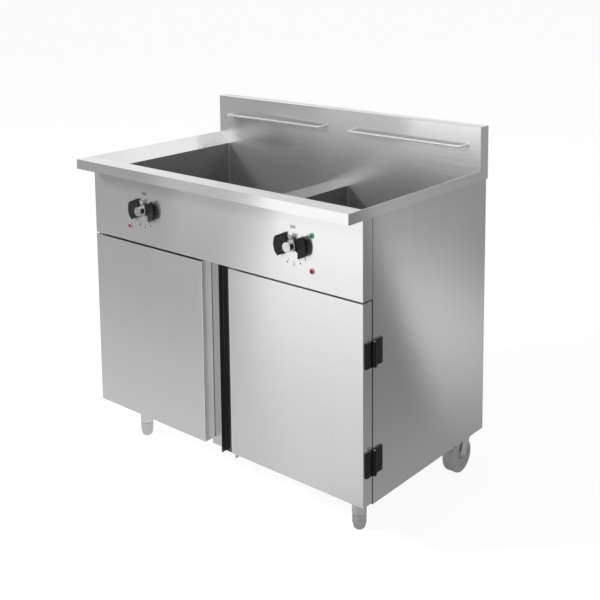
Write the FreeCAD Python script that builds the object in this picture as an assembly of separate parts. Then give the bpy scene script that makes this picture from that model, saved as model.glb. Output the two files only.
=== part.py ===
import FreeCAD, Part
import math
import os

os.makedirs("parts", exist_ok=True)

# Electric fish fryer: two wells in a stainless top over a two-door cabinet.
# Millimetres. X runs left to right, -Y is the front, +Z is up.
# The origin is on the floor below the middle of the top.

# overall sizes
top_width = 1000.0
top_depth = 616.0
rim_height = 870.0
splash_height = 120.0
cabinet_floor = 120.0
sheet = 1.5
overrun = 5.0
full_turn = 360

# rim and sloping top
rim_drop = 27.7
rim_lip = 16.0
strip_depth = 52.0
side_slope_run = 37.2
side_slope_drop = 35.2
front_slope_run = 88.0
front_slope_drop = 88.0
splash_thickness = 38.5

# wells
bridge_half = 40.0
bridge_drop = 106.0
bridge_flange = 22.0
well_depth = 325.0
well_fall = 15.0
drain_from_front = 60.0

# basket rails
rail_radius = 3.8
rail_standoff = 24.0
rail_height = 64.0
rail_from_left = 56.8
rail_from_right = 49.3
rail_inner_left = 52.5
rail_inner_right = 57.1
rail_bend = 9.0

# control box
cabinet_inset = 3.5
fascia_setback = 58.6
fascia_return = 36.65
fascia_drop = 227.0
tray_stop_height = 28.0

# knobs, thermostats and lamps
knob_axis_drop = 127.0
knob_from_left = 221.0
knob_from_right = 222.0
knob_gap = 2.0
knob_thickness = 4.0
knob_dish_start = 19.0
knob_dish_share = 0.265
tab_dish_share = 0.42
knob_ring_radius = 15.5
hub_radius = 13.0
hub_front = 25.0
hub_collar_radius = 14.6
hub_collar_length = 3.5
hub_wall = 2.5
knob_reach = 53.0
wing_shares = [(0.208, 0.226), (0.334, 0.404), (0.8, 0.594), (0.943, 0.377), (1, 0.094),
               (0.981, -0.189), (0.915, -0.358), (0.377, -0.594), (0.377, -0.302),
               (0.245, -0.208)]
tab_half = 8.0
tab_reach = 28.5
spindle_radius = 3.0
spindle_clearance = 0.05
spindle_front = 19.0
spindle_back = 8.0
spindle_hole = 5.5
lamp_radius = 7.5
lamp_body_radius = 4.5
lamp_body_length = 24.0
lamp_dome = 3.5
lamp_bezel = 1.2
lamp_offset_x = 62.0
lamp_green_rise = 35.0
lamp_red_drop = 54.5
stat_width = 44.0
stat_height = 56.0
stat_depth = 34.0
stat_neck_radius = 9.0
stat_neck_length = 3.0
capillary_radius = 1.2
bulb_radius = 3.5
bulb_share = 0.644
bulb_offset_x = 30.0
bulb_entry_drop = 164.0
bulb_off_wall = 14.0
capillary_bend = 6.0
gland_radius = 7.0
gland_length = 5.0

# heating elements
tube_radius = 4.25
tube_entry_drop = 194.0
tube_run_share = 0.3435
tube_off_wall = 22.0
tube_back_gap = 34.0
tube_bend = 18.0
tube_pitch_share = 0.1425
hairpin_count = 3
flange_height = 40.0
flange_thickness = 3.0
flange_margin = 22.0
terminal_length = 14.0
terminal_radius = 2.0
support_thickness = 3.0
support_from_front = 208.0

# electrical gear
contactor_width = 45.0
contactor_depth = 52.0
contactor_height = 66.0
contactor_spacing = 58.0
contactor_cap_width = 33.0
contactor_cap_height = 12.0
block_width = 96.0
block_depth = 34.0
block_height = 24.0
block_groove = 3.0
block_pitch = 12.0
block_from_centre = 140.0
cable_hole_radius = 10.0
cable_gland_radius = 15.0
cable_gland_length = 11.0
cable_nut_radius = 17.0
cable_nut_length = 6.0
cable_from_side = 116.5
cable_rise = 70.0

# cabinet shell
side_back_gap = 3.0
panel_top_drop = 10.0
flange_side = 15.0
flange_front = 30.0
flange_back = 22.0
back_panel_inset = 17.0
base_upstand = 26.0
mullion_recess_half = 26.0
mullion_recess_depth = 17.0
mullion_outer = 62.0
mullion_overhang = 16.0
mullion_channel_drop = 18.0

# doors
door_gap_half = 51.0
door_rise = 5.0
door_top_gap = 5.0
door_lip = 16.0
door_clearance = 0.5
liner_margin = 4.0
liner_thickness = 1.2

# door hinges
hinge_from_bottom = 106.0
hinge_from_top = 131.0
hinge_length = 64.0
hinge_axis_out = 6.3
barrel_radius = 6.0
hinge_pin_radius = 2.5
pin_clearance = 0.05
leaf_thickness = 4.5
leaf_edge = 7.0
leaf_reach_door = 28.5
leaf_reach_panel = 35.5
knuckle_middle = 30.0
knuckle_gap = 0.4
screw_radius = 2.0
screw_head_radius = 3.6
screw_head_height = 1.4
screw_length = 6.0
screw_spread = 40.0
screw_gap_door = 18.5
screw_gap_panel = 24.0

# drains
pipe_radius = 16.7
pipe_bore = 13.5
valve_below_floor = 45.0
valve_length = 60.0
valve_radius = 21.0
valve_end_radius = 20.0
valve_end_length = 14.0
ball_radius = 17.0
ball_bore = 12.0
ball_clearance = 0.1
stem_radius = 5.0
stem_boss_radius = 10.0
stem_boss_reach = 27.0
stem_reach = 38.0
spout_length = 55.0
spout_overlap = 12.0
lever_thickness = 4.0
lever_half_width = 9.0
lever_length = 118.0
lever_gap = 1.0

# legs and feet
leg_inset = 86.5
leg_setback = 59.0
leg_radius = 19.0
leg_bore = 17.5
leg_bottom = 42.0
leg_plug = 12.0
leg_plate_half = 36.0
leg_plate = 3.0
foot_stem_radius = 8.0
foot_clearance = 0.05
foot_stem_top = 84.0
foot_top_gap = 1.0
foot_top_radius = 18.5
foot_bottom_radius = 15.5
foot_base_radius = 11.0
foot_base_height = 5.0
foot_band = 22.0

# castors
castor_inset = 49.5
castor_from_back = 33.0
castor_trail = 23.0
wheel_radius = 49.0
wheel_width = 36.0
wheel_hub_radius = 14.0
wheel_web = 28.0
wheel_recess_radius = 36.0
wheel_round = 5.0
wheel_side_gap = 1.0
axle_radius = 5.0
axle_clearance = 0.05
axle_head_radius = 8.0
axle_head_length = 4.0
fork_thickness = 2.5
fork_gap = 0.1
fork_crown = 4.0
fork_hub_radius = 12.0
fork_front = 18.0
fork_rear = 21.0
castor_plate_half = 31.0
castor_plate = 3.0
race_radius = 22.0
race_height = 6.0
kingpin_radius = 6.0
kingpin_clearance = 0.05
kingpin_head_radius = 9.0
kingpin_head = 4.0
kingpin_length = 13.5

# derived planes
half = top_width / 2
front_y = -top_depth / 2
back_y = top_depth / 2
inner_half = half - sheet
well_side = inner_half - side_slope_run
slope_foot_z = rim_height - side_slope_drop
strip_y = front_y + strip_depth
well_front = strip_y + front_slope_run
front_slope_foot = rim_height - front_slope_drop
well_back = back_y - splash_thickness
bridge_z = rim_height - bridge_drop
splash_top = rim_height + splash_height
rim_bottom = rim_height - rim_drop
body_half = half - cabinet_inset
fascia_y = front_y + fascia_setback
frame_y = fascia_y + fascia_return + door_clearance + door_clearance / 2
door_back = frame_y - door_clearance
hinge_x = body_half + hinge_axis_out
hinge_y = door_back
well_centre = (bridge_half + well_side) / 2
drain_y = well_front + drain_from_front
under_base = cabinet_floor + sheet
side_back = back_y - side_back_gap
back_panel_y = side_back - back_panel_inset
panel_top = rim_height - panel_top_drop
well_floor_front = rim_height - well_depth
well_floor_back = well_floor_front + well_fall
fascia_bottom = rim_height - fascia_drop
knob_axis_z = rim_height - knob_axis_drop
knob_axis_left = knob_from_left - half
knob_axis_right = half - knob_from_right
bulb_entry_z = rim_height - bulb_entry_drop
bulb_top = bulb_entry_z - 2 * capillary_bend
bulb_length = (bulb_top - well_floor_front) * bulb_share
tube_entry_z = rim_height - tube_entry_drop
tube_run_z = well_floor_front + (tube_entry_z - well_floor_front) * tube_run_share
tube_pitch = (well_side - bridge_half) * tube_pitch_share
support_at = well_front + support_from_front
door_bottom = cabinet_floor + door_rise
door_top = fascia_bottom - door_top_gap
hinge_heights = [door_bottom + hinge_from_bottom, door_top - hinge_from_top]
mullion_bottom = cabinet_floor - mullion_overhang
cable_gland_x = body_half - cable_from_side
cable_gland_z = cabinet_floor + cable_rise
valve_top = well_floor_front - valve_below_floor
valve_bottom = valve_top - valve_length
spout_bottom = valve_bottom - spout_length
leg_x = body_half - leg_inset
leg_y = frame_y + leg_setback
castor_x = body_half - castor_inset
castor_pivot_y = side_back - castor_from_back
race_bottom = under_base - castor_plate - race_height
fork_top = race_bottom - fork_gap
kingpin_bottom = race_bottom - kingpin_length
rail_outer_left = half - rail_from_left
rail_outer_right = half - rail_from_right


def vec(x, y, z):
    return FreeCAD.Vector(x, y, z)


AXIS_X = vec(1, 0, 0)
AXIS_Y = vec(0, 1, 0)
AXIS_Z = vec(0, 0, 1)


def box(x0, x1, y0, y1, z0, z1):
    return Part.makeBox(x1 - x0, y1 - y0, z1 - z0, vec(x0, y0, z0))


def cylinder(radius, length, base, axis):
    return Part.makeCylinder(radius, length, base, axis)


def tube(radius, bore, length, base, axis):
    step = vec(axis.x, axis.y, axis.z)
    step.multiply(overrun)
    inner = Part.makeCylinder(bore, length + 2 * overrun, base - step, axis)
    return Part.makeCylinder(radius, length, base, axis).cut(inner)


def prism(points, direction):
    wire = Part.makePolygon(points + [points[0]])
    return Part.Face(wire).extrude(direction)


def prism_x(points, x0, x1):
    return prism([vec(x0, y, z) for y, z in points], vec(x1 - x0, 0, 0))


def prism_y(points, y0, y1):
    return prism([vec(x, y0, z) for x, z in points], vec(0, y1 - y0, 0))


def prism_z(points, z0, z1):
    return prism([vec(x, y, z0) for x, y in points], vec(0, 0, z1 - z0))


def fused(shapes):
    return shapes[0].multiFuse(shapes[1:]).removeSplitter()


def bent_rod(points, radius, bend):
    # straight runs joined by tangent bends of one radius
    pieces = []
    start = points[0]
    for index in range(1, len(points)):
        heading = (points[index] - points[index - 1]).normalize()
        if index == len(points) - 1:
            pieces.append(cylinder(radius, (points[-1] - start).Length, start, heading))
            break
        corner = points[index]
        ahead = (points[index + 1] - corner).normalize()
        turn = heading.getAngle(ahead)
        reach = bend * math.tan(turn / 2)
        first = corner - vec(heading.x, heading.y, heading.z).multiply(reach)
        last = corner + vec(ahead.x, ahead.y, ahead.z).multiply(reach)
        inward = (ahead - heading).normalize()
        centre = corner + inward.multiply(bend / math.cos(turn / 2))
        pieces.append(cylinder(radius, (first - start).Length, start, heading))
        section = Part.Face(Part.Wire([Part.makeCircle(radius, first, heading)]))
        pieces.append(section.revolve(centre, heading.cross(ahead), math.degrees(turn)))
        start = last
    return fused(pieces)


def mirrored(shape):
    return shape.mirror(vec(0, 0, 0), AXIS_X)


def save(name, shapes):
    solids = []
    for shape in shapes:
        solids.extend(shape.Solids)
    whole = solids[0] if len(solids) == 1 else Part.makeCompound(solids)
    whole.exportStep("parts/" + name + ".step")


def save_pair(name, shapes):
    # the shapes are drawn on the right and copied to the left
    save(name + "_right", shapes)
    save(name + "_left", [mirrored(shape) for shape in shapes])


def top_deck():
    side_angle = math.atan2(side_slope_drop, side_slope_run)
    front_angle = math.atan2(front_slope_drop, front_slope_run)
    side_shift = sheet * math.tan(side_angle) - sheet / math.cos(side_angle)
    front_shift = sheet * math.tan(front_angle) - sheet / math.cos(front_angle)
    above = rim_height + overrun
    below = bridge_z - overrun
    inner_xz = [(-inner_half, above), (-inner_half, rim_height), (-well_side, slope_foot_z),
                (-well_side, below), (well_side, below), (well_side, slope_foot_z),
                (inner_half, rim_height), (inner_half, above)]
    inner_yz = [(strip_y, above), (strip_y, rim_height), (well_front, front_slope_foot),
                (well_front, below), (well_back, below), (well_back, above)]
    edge_z = slope_foot_z + side_shift + (inner_half - well_side - sheet) * math.tan(side_angle)
    outer_side = well_side + sheet
    foot_z = slope_foot_z + side_shift
    outer_xz = [(-inner_half, above), (-inner_half, edge_z), (-outer_side, foot_z),
                (-outer_side, bridge_z), (outer_side, bridge_z), (outer_side, foot_z),
                (inner_half, edge_z), (inner_half, above)]
    front_z = front_slope_foot + front_shift
    strip_under = rim_height - sheet / math.cos(front_angle)
    outer_yz = [(strip_y, above), (strip_y, strip_under), (well_front - sheet, front_z),
                (well_front - sheet, bridge_z), (well_back + sheet, bridge_z),
                (well_back + sheet, above)]
    cavity = prism_y(inner_xz, front_y, back_y).common(prism_x(inner_yz, -half, half))
    shell = prism_y(outer_xz, front_y, back_y).common(prism_x(outer_yz, -half, half))
    shell = shell.cut(cavity).cut(box(-half, half, front_y, back_y, rim_height, above + overrun))
    strip = box(-half, half, front_y, strip_y, rim_height - sheet, rim_height)
    skirt = box(-half, half, front_y, front_y + sheet, rim_bottom, rim_height)
    lip = box(-half, half, front_y, front_y + rim_lip, rim_bottom, rim_bottom + sheet)
    pieces = [shell, strip, skirt, lip]
    for side in (-1, 1):
        edges = sorted((side * half, side * inner_half))
        pieces.append(box(edges[0], edges[1], front_y, well_back, rim_bottom, rim_height))
        edges = sorted((side * half, side * body_half))
        pieces.append(box(edges[0], edges[1], front_y, well_back, rim_bottom, rim_bottom + sheet))
    face = box(-inner_half, inner_half, well_back, well_back + sheet, rim_height,
               splash_top - sheet)
    pieces.append(face)
    save("top_deck", [fused(pieces)])


def splashback():
    outer = box(-half, half, well_back, back_y, rim_bottom, splash_top)
    hollow = box(-inner_half, inner_half, well_back - overrun, back_y - sheet,
                 rim_bottom - overrun, splash_top - sheet)
    save("splashback", [outer.cut(hollow)])


def bridge():
    low = bridge_z - bridge_flange
    inner = bridge_half - sheet
    front = well_front - sheet
    back = well_back + sheet
    outer = box(-inner, inner, front, back, low, bridge_z)
    hollow = box(-inner + sheet, inner - sheet, front - overrun, back + overrun,
                 low - overrun, bridge_z - sheet)
    plate = box(-bridge_half, bridge_half, front, back, bridge_z - sheet, bridge_z)
    save("bridge", [fused([outer.cut(hollow), plate])])


def well_floor_z(y):
    share = (y - well_front) / (well_back - well_front)
    return well_floor_front + share * (well_floor_back - well_floor_front)


def tube_lines():
    # the heating tubes of one bank, as pairs of distances from the well's centre line
    lines = []
    for index in range(hairpin_count):
        middle = (index - (hairpin_count - 1) / 2) * 2 * tube_pitch
        lines.append((middle - tube_pitch / 2, middle + tube_pitch / 2))
    return lines


def well():
    low_front = well_floor_z(well_front - sheet) - sheet
    low_back = well_floor_z(well_back + sheet) - sheet
    outer = prism_x([(well_front - sheet, bridge_z), (well_front - sheet, low_front),
                     (well_back + sheet, low_back), (well_back + sheet, bridge_z)],
                    bridge_half - sheet, well_side + sheet)
    above = bridge_z + overrun
    inner = prism_x([(well_front, above), (well_front, well_floor_front),
                     (well_back, well_floor_back), (well_back, above)], bridge_half, well_side)
    pan = outer.cut(inner)
    pan = pan.cut(box(0, bridge_half, front_y, back_y, bridge_z - sheet, above))
    pan = pan.cut(cylinder(pipe_radius, 2 * overrun + sheet,
                           vec(well_centre, drain_y, well_floor_front - overrun), AXIS_Z))
    for pair in tube_lines():
        for offset in pair:
            hole = cylinder(tube_radius, 2 * overrun,
                            vec(well_centre + offset, well_front - overrun, tube_entry_z), AXIS_Y)
            pan = pan.cut(hole)
    for sign, knob_x in ((1, knob_axis_right), (-1, knob_axis_left)):
        entry_x = knob_x + bulb_offset_x
        local = sign * entry_x
        hole = cylinder(capillary_radius, 2 * overrun,
                        vec(local, well_front - overrun, bulb_entry_z), AXIS_Y)
        pierced = pan.cut(hole)
        if sign == 1:
            save("well_right", [pierced])
        else:
            save("well_left", [mirrored(pierced)])


def basket_rails():
    z = rim_height + rail_height
    bar_y = well_back - rail_standoff
    for name, x0, x1 in (("basket_rail_left", -rail_outer_left, -rail_inner_left),
                         ("basket_rail_right", rail_inner_right, rail_outer_right)):
        points = [vec(x0, well_back, z), vec(x0, bar_y, z), vec(x1, bar_y, z),
                  vec(x1, well_back, z)]
        save(name, [bent_rod(points, rail_radius, rail_bend)])


def fascia():
    slope = front_slope_drop / front_slope_run
    top = rim_height - (fascia_y + sheet - strip_y) * slope - sheet / math.cos(math.atan(slope))
    back = fascia_y + fascia_return
    face = box(-body_half, body_half, fascia_y, fascia_y + sheet, fascia_bottom, top)
    foot = box(-body_half, body_half, fascia_y, back, fascia_bottom, fascia_bottom + sheet)
    pieces = [face, foot]
    for side in (-1, 1):
        edges = sorted((side * body_half, side * (body_half - sheet)))
        pieces.append(box(edges[0], edges[1], fascia_y, back, fascia_bottom, rim_bottom))
    panel = fused(pieces)
    for knob_x in (knob_axis_left, knob_axis_right):
        panel = panel.cut(cylinder(spindle_hole, 2 * overrun,
                                   vec(knob_x, fascia_y - overrun, knob_axis_z), AXIS_Y))
    for lamp_x, lamp_z in lamp_places():
        panel = panel.cut(cylinder(lamp_body_radius, 2 * overrun,
                                   vec(lamp_x, fascia_y - overrun, lamp_z), AXIS_Y))
    save("fascia", [panel])


def lamp_places():
    return [(knob_axis_right + lamp_offset_x, knob_axis_z + lamp_green_rise),
            (knob_axis_right + lamp_offset_x, knob_axis_z - lamp_red_drop),
            (knob_axis_left - lamp_offset_x, knob_axis_z - lamp_red_drop)]


def lamp(lamp_x, lamp_z):
    body = cylinder(lamp_body_radius, lamp_body_length + sheet,
                    vec(lamp_x, fascia_y, lamp_z), AXIS_Y)
    bezel = cylinder(lamp_radius, lamp_bezel,
                     vec(lamp_x, fascia_y - lamp_bezel, lamp_z), AXIS_Y)
    ball = (lamp_radius ** 2 + lamp_dome ** 2) / (2 * lamp_dome)
    centre = vec(lamp_x, fascia_y - lamp_bezel - lamp_dome + ball, lamp_z)
    cap = Part.makeSphere(ball, centre)
    slab = cylinder(lamp_radius, lamp_dome + overrun,
                    vec(lamp_x, fascia_y - lamp_bezel - lamp_dome - overrun, lamp_z), AXIS_Y)
    return fused([body, bezel, cap.common(slab)])


def lamps():
    places = lamp_places()
    save("lamp_green", [lamp(places[0][0], places[0][1])])
    save("lamps_red", [lamp(x, z) for x, z in places[1:]])


def control_tray():
    wide = body_half - sheet
    shelf_z = fascia_bottom + sheet
    shelf = box(-wide, wide, fascia_y + sheet, well_front - sheet, shelf_z, shelf_z + sheet)
    stop_y = frame_y + sheet
    stop = box(-wide, wide, stop_y, stop_y + sheet, fascia_bottom - tray_stop_height, shelf_z)
    tray = fused([shelf, stop])
    notch = mullion_recess_half + sheet
    deep = frame_y + mullion_recess_depth + sheet
    tray = tray.cut(box(-notch, notch, frame_y - overrun, deep, 0, shelf_z))
    save("control_tray", [tray])


def wing(sign):
    return [(sign * knob_reach * x, sign * knob_reach * z) for x, z in wing_shares]


def knobs():
    back = fascia_y - knob_gap
    front = back - knob_thickness
    wing_lift = (knob_reach - knob_dish_start) * knob_dish_share
    tab_lift = (tab_reach - knob_ring_radius) * tab_dish_share
    hub_end = fascia_y - hub_front
    for name, knob_x in (("left", knob_axis_left), ("right", knob_axis_right)):
        centre = vec(knob_x, front, knob_axis_z)
        pieces = [cylinder(knob_ring_radius, knob_thickness, centre, AXIS_Y)]
        for sign in (-1, 1):
            moved = [(knob_x + x, knob_axis_z + z) for x, z in wing(sign)]
            inner = [(knob_x, knob_axis_z)]
            outline = prism_y(moved + inner, front - wing_lift, back)
            bend_x = knob_x + sign * knob_dish_start
            edge_x = knob_x + sign * knob_reach
            dished = prism_z([(knob_x, back), (bend_x, back), (edge_x, back - wing_lift),
                              (edge_x, front - wing_lift), (bend_x, front), (knob_x, front)],
                             knob_axis_z - knob_reach, knob_axis_z + knob_reach)
            pieces.append(outline.common(dished))
        ring_top = knob_axis_z + knob_ring_radius
        tab_top = knob_axis_z + tab_reach
        tab = prism_x([(back, knob_axis_z), (back, ring_top), (back - tab_lift, tab_top),
                       (front - tab_lift, tab_top), (front, ring_top), (front, knob_axis_z)],
                      knob_x - tab_half, knob_x + tab_half)
        slot = box(knob_x - tab_half, knob_x + tab_half, front - overrun, back + overrun,
                   knob_axis_z, tab_top)
        grip = fused(pieces)
        grip = grip.cut(cylinder(hub_radius, knob_thickness + 2 * overrun,
                                 vec(knob_x, front - overrun, knob_axis_z), AXIS_Y)).cut(slot)
        save("knob_grip_" + name, [grip])
        hub = cylinder(hub_radius, back - hub_end, vec(knob_x, hub_end, knob_axis_z), AXIS_Y)
        collar = cylinder(hub_collar_radius, hub_collar_length,
                          vec(knob_x, front - hub_collar_length, knob_axis_z), AXIS_Y)
        bore = cylinder(spindle_radius, back - hub_end - hub_wall + overrun,
                        vec(knob_x, hub_end + hub_wall, knob_axis_z), AXIS_Y)
        save("knob_hub_" + name, [fused([hub, collar, tab]).cut(bore)])
        spindle_end = fascia_y - spindle_front
        mouth = fascia_y + sheet + spindle_back
        spindle = cylinder(spindle_radius, mouth - spindle_end,
                           vec(knob_x, spindle_end, knob_axis_z), AXIS_Y)
        save("thermostat_spindle_" + name, [spindle])


def thermostats():
    for name, knob_x in (("left", knob_axis_left), ("right", knob_axis_right)):
        front = fascia_y + sheet
        body_front = front + stat_neck_length
        body = box(knob_x - stat_width / 2, knob_x + stat_width / 2, body_front,
                   body_front + stat_depth, knob_axis_z - stat_height / 2,
                   knob_axis_z + stat_height / 2)
        neck = cylinder(stat_neck_radius, stat_neck_length,
                        vec(knob_x, front, knob_axis_z), AXIS_Y)
        bore = cylinder(spindle_radius + spindle_clearance, spindle_back + spindle_clearance,
                        vec(knob_x, front, knob_axis_z), AXIS_Y)
        entry_x = knob_x + bulb_offset_x
        bulb_y = well_front + bulb_off_wall
        start_y = body_front + stat_depth / 2
        start = vec(knob_x + stat_width / 2, start_y, bulb_entry_z + stat_height / 2)
        turn = vec(entry_x, start_y, bulb_entry_z + stat_height / 2)
        down = vec(entry_x, start_y, bulb_entry_z)
        inside = vec(entry_x, bulb_y, bulb_entry_z)
        end = vec(entry_x, bulb_y, bulb_top)
        capillary = bent_rod([start, turn, down, inside, end], capillary_radius, capillary_bend)
        bulb = cylinder(bulb_radius, bulb_length, vec(entry_x, bulb_y, bulb_top - bulb_length),
                        AXIS_Z)
        gland = cylinder(gland_radius, gland_length,
                         vec(entry_x, well_front - sheet - gland_length, bulb_entry_z), AXIS_Y)
        whole = fused([fused([body, neck]).cut(bore), capillary, bulb, gland])
        save("thermostat_" + name, [whole])


def element_bank():
    outside = well_front - sheet
    flange_back_y = outside - flange_thickness
    lines = tube_lines()
    reach = lines[-1][1] + flange_margin
    pieces = [box(well_centre - reach, well_centre + reach, flange_back_y, outside,
                  tube_entry_z - flange_height / 2, tube_entry_z + flange_height / 2)]
    run_y = well_front + tube_off_wall
    end_y = well_back - tube_back_gap
    for low, high in lines:
        x0 = well_centre + low
        x1 = well_centre + high
        points = [vec(x0, flange_back_y, tube_entry_z), vec(x0, run_y, tube_entry_z),
                  vec(x0, run_y, tube_run_z), vec(x0, end_y, tube_run_z),
                  vec(x1, end_y, tube_run_z), vec(x1, run_y, tube_run_z),
                  vec(x1, run_y, tube_entry_z), vec(x1, flange_back_y, tube_entry_z)]
        pieces.append(bent_rod(points, tube_radius, tube_bend))
        for x in (x0, x1):
            pieces.append(cylinder(terminal_radius, terminal_length,
                                   vec(x, flange_back_y - terminal_length, tube_entry_z), AXIS_Y))
    rest_z = well_floor_z(support_at + support_thickness)
    pieces.append(box(well_centre + lines[0][0] - tube_radius,
                      well_centre + lines[-1][1] + tube_radius, support_at,
                      support_at + support_thickness, rest_z, tube_run_z))
    save_pair("element_bank", [fused(pieces)])


def electrical_gear():
    shelf = fascia_bottom + 2 * sheet
    back = well_front - sheet
    front = back - contactor_depth
    shapes = []
    for side in (-1, 1):
        x = side * contactor_spacing / 2
        foot = box(x - contactor_width / 2, x + contactor_width / 2, front, back - overrun,
                   shelf, shelf + contactor_height)
        cap = box(x - contactor_cap_width / 2, x + contactor_cap_width / 2, front + overrun,
                  back - 2 * overrun, shelf + contactor_height,
                  shelf + contactor_height + contactor_cap_height)
        shapes.append(fused([foot, cap]))
    save("contactors", shapes)
    x0 = block_from_centre - block_width / 2
    block = box(x0, x0 + block_width, back - overrun - block_depth, back - overrun,
                shelf, shelf + block_height)
    for index in range(1, int(block_width / block_pitch)):
        x = x0 + index * block_pitch
        block = block.cut(box(x - block_groove / 2, x + block_groove / 2,
                              back - overrun - block_depth, back - overrun,
                              shelf + block_height - block_pitch, shelf + block_height + overrun))
    save("terminal_block", [block])
    centre = vec(cable_gland_x, back_panel_y + sheet, cable_gland_z)
    body = tube(cable_gland_radius, cable_hole_radius, cable_gland_length, centre, AXIS_Y)
    neck = tube(cable_hole_radius + sheet, cable_hole_radius, sheet + cable_nut_length,
                vec(cable_gland_x, back_panel_y - cable_nut_length, cable_gland_z), AXIS_Y)
    nut = tube(cable_nut_radius, cable_hole_radius, cable_nut_length,
               vec(cable_gland_x, back_panel_y - cable_nut_length, cable_gland_z), AXIS_Y)
    save("cable_gland", [fused([body, neck, nut])])


def cabinet():
    inner = body_half - sheet
    front_edge = frame_y
    skin = box(inner, body_half, front_edge, side_back, cabinet_floor, panel_top)
    foot = box(inner - flange_side, inner, front_edge, side_back, cabinet_floor,
               cabinet_floor + sheet)
    stile = box(inner - flange_front, inner, front_edge, front_edge + sheet,
                cabinet_floor, fascia_bottom)
    upper = box(inner - flange_side, inner, front_edge, front_edge + sheet,
                fascia_bottom + 2 * sheet, rim_bottom)
    rear = box(inner - flange_back, inner, side_back - sheet, side_back,
               cabinet_floor, rim_bottom)
    panel = fused([skin, foot, stile, upper, rear])
    drills = []
    for z in hinge_heights:
        for dz in (-screw_spread / 2, screw_spread / 2):
            drills.append(cylinder(screw_radius, screw_length + 2 * overrun,
                                   vec(inner - screw_length - overrun, hinge_y + screw_gap_panel,
                                       z + dz), AXIS_X))
    save_pair("side_panel", [panel.cut(Part.makeCompound(drills))])
    back_z = rim_bottom
    sheet_back = box(-inner, inner, back_panel_y, back_panel_y + sheet,
                     under_base + sheet, back_z)
    hole = cylinder(cable_hole_radius + sheet, 2 * overrun,
                    vec(cable_gland_x, back_panel_y - overrun, cable_gland_z), AXIS_Y)
    save("back_panel", [sheet_back.cut(hole)])
    stop_y = frame_y + sheet
    floor = box(-inner, inner, stop_y, side_back - sheet, under_base, under_base + sheet)
    upstand = box(-inner, inner, stop_y, stop_y + sheet, under_base, under_base + base_upstand)
    notch = mullion_recess_half + sheet
    deep = frame_y + mullion_recess_depth + sheet
    gap = box(-notch, notch, frame_y - overrun, deep, 0, under_base + base_upstand + overrun)
    save("base_panel", [fused([floor, upstand]).cut(gap)])


def mullion():
    deep = frame_y + mullion_recess_depth
    wall = mullion_recess_half + sheet
    outline = [(-mullion_outer, frame_y), (-mullion_recess_half, frame_y),
               (-mullion_recess_half, deep), (mullion_recess_half, deep),
               (mullion_recess_half, frame_y), (mullion_outer, frame_y),
               (mullion_outer, frame_y + sheet), (wall, frame_y + sheet),
               (wall, deep + sheet), (-wall, deep + sheet), (-wall, frame_y + sheet),
               (-mullion_outer, frame_y + sheet)]
    channel = [(-wall, frame_y), (-mullion_recess_half, frame_y), (-mullion_recess_half, deep),
               (mullion_recess_half, deep), (mullion_recess_half, frame_y), (wall, frame_y),
               (wall, deep + sheet), (-wall, deep + sheet)]
    save("mullion", [fused([prism_z(outline, mullion_bottom, fascia_bottom + sheet),
                            prism_z(channel, mullion_bottom - mullion_channel_drop,
                                    mullion_bottom)])])


def door():
    front = fascia_y
    lip_back = door_back - liner_thickness
    outer = box(door_gap_half, body_half, front, lip_back, door_bottom, door_top)
    hollow = box(door_gap_half + sheet, body_half - sheet, front + sheet, lip_back - sheet,
                 door_bottom + sheet, door_top - sheet)
    mouth = box(door_gap_half + door_lip, body_half - door_lip, lip_back - overrun,
                lip_back + overrun, door_bottom + door_lip, door_top - door_lip)
    tray = outer.cut(hollow).cut(mouth)
    drills = []
    for z in hinge_heights:
        for dz in (-screw_spread / 2, screw_spread / 2):
            drills.append(cylinder(screw_radius, screw_length + 2 * overrun,
                                   vec(body_half - screw_length - overrun,
                                       hinge_y - screw_gap_door, z + dz), AXIS_X))
    save_pair("door", [tray.cut(Part.makeCompound(drills))])
    liner = box(door_gap_half + liner_margin, body_half - liner_margin, lip_back, door_back,
                door_bottom + liner_margin, door_top - liner_margin)
    save_pair("door_liner", [liner])


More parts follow.
